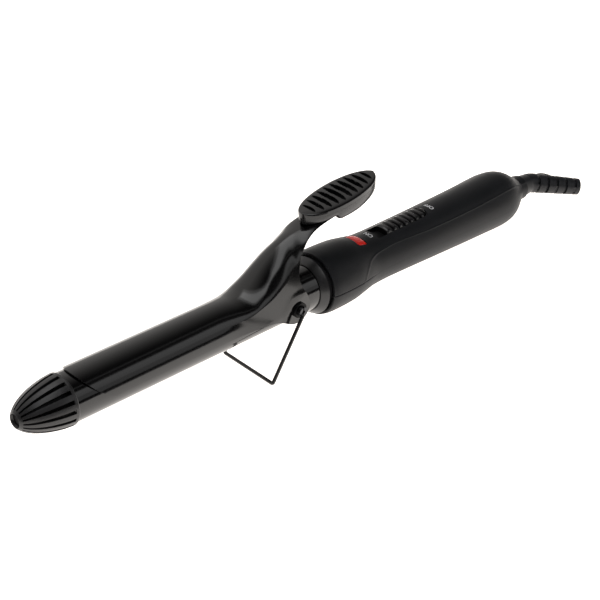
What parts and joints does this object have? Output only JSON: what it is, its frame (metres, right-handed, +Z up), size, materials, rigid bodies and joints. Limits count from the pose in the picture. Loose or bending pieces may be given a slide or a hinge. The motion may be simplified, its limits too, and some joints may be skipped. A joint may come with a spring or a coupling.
{
  "type": "curling iron",
  "caption": "Electric curling iron: coated round barrel with vented tip, sprung clamp with ribbed thumb rest, wire stand, waisted handle with slide switch and lamp, swivelling cord guard.",
  "frame": {"origin": "middle of the iron's box, on the table that it stands on", "axes": "+Z up; +X from the barrel tip towards the cord, in plan; the barrel's own axis is tipped about 6 degrees, tip up, because the iron stands on its wire stand and the rear of its handle; +Y to the far side"},
  "size_m": [0.4022, 0.0436, 0.0814],
  "materials": {
    "barrel_coating": "gloss black ceramic coating",
    "clamp_coating": "gloss black coating on formed steel sheet",
    "tip_plastic": "satin heat-proof moulding",
    "collar_plastic": "satin heat-proof moulding",
    "handle_plastic": "soft-touch matte black",
    "inner_plastic": "natural moulding",
    "black_plastic": "satin",
    "steel": "plated",
    "spring_steel": "drawn spring wire",
    "heater_ceramic": "fired",
    "aluminium": "extruded",
    "mica": "pressed sheet",
    "wire_insulation": "silicone sleeving",
    "board": "printed circuit laminate",
    "resistor": "lacquered",
    "lamp_glass": "clear envelope",
    "lens_red": "translucent red",
    "brass": "stamped",
    "rest_gloss": "polished black moulding",
    "rest_body": "satin black moulding",
    "stand_paint": "black enamel on steel wire",
    "slider_plastic": "satin black moulding",
    "guard_rubber": "moulded flexible guard"
  },
  "bodies": {
    "handle": {"barrel_tube": "barrel_coating", "tip_cap": "tip_plastic", "collar_ring": "collar_plastic", "barrel_bush": "inner_plastic", "handle_top_shell": "handle_plastic", "handle_bottom_shell": "handle_plastic", "housing_screws": "steel", "pivot_studs": "steel", "pivot_washers": "black_plastic", "clamp_springs": "spring_steel", "ptc_heater": "heater_ceramic", "heat_spreader_upper": "aluminium", "heat_spreader_lower": "aluminium", "mica_sheets": "mica", "heater_leads": "wire_insulation", "thermal_fuse": "aluminium", "circuit_board": "board", "dropper_resistor": "resistor", "neon_lamp": "lamp_glass", "lamp_lens": "lens_red", "switch_body": "inner_plastic", "supply_leads": "wire_insulation", "swivel_socket": "inner_plastic", "contact_blades": "brass"},
    "clamp": {"clamp_plate": "clamp_coating", "thumb_rest_top": "rest_gloss", "thumb_rest_base": "rest_body", "thumb_rest_screws": "steel"},
    "stand": {"stand_wire": "stand_paint"},
    "switch": {"switch_slider": "slider_plastic"},
    "cord_swivel": {"cord_guard": "guard_rubber", "swivel_plug": "inner_plastic", "slip_rings": "brass"}
  },
  "joints": [
    {"name": "clamp_hinge", "type": "hinge", "parent": "handle", "child": "clamp", "pos_m": [-0.03927, 0.00006, 0.03615], "axis": [0, 1, 0], "range_deg": [0, 18], "stiffness_Nm_per_rad": 0.3, "springref_deg": -34.38, "deforming": ["clamp_springs"]},
    {"name": "stand_hinge", "type": "hinge", "parent": "handle", "child": "stand", "pos_m": [-0.03927, 0.00006, 0.03615], "axis": [0, 1, 0], "range_deg": [-85, 38]},
    {"name": "switch_slide", "type": "slide", "parent": "handle", "child": "switch", "axis": [-0.9944, 0, 0.106], "range_m": [0, 0.006]},
    {"name": "cord_turn", "type": "hinge", "parent": "handle", "child": "cord_swivel", "pos_m": [0.1517, 0.00006, 0.0144], "axis": [0.9944, 0, -0.106], "continuous": true}
  ]
}
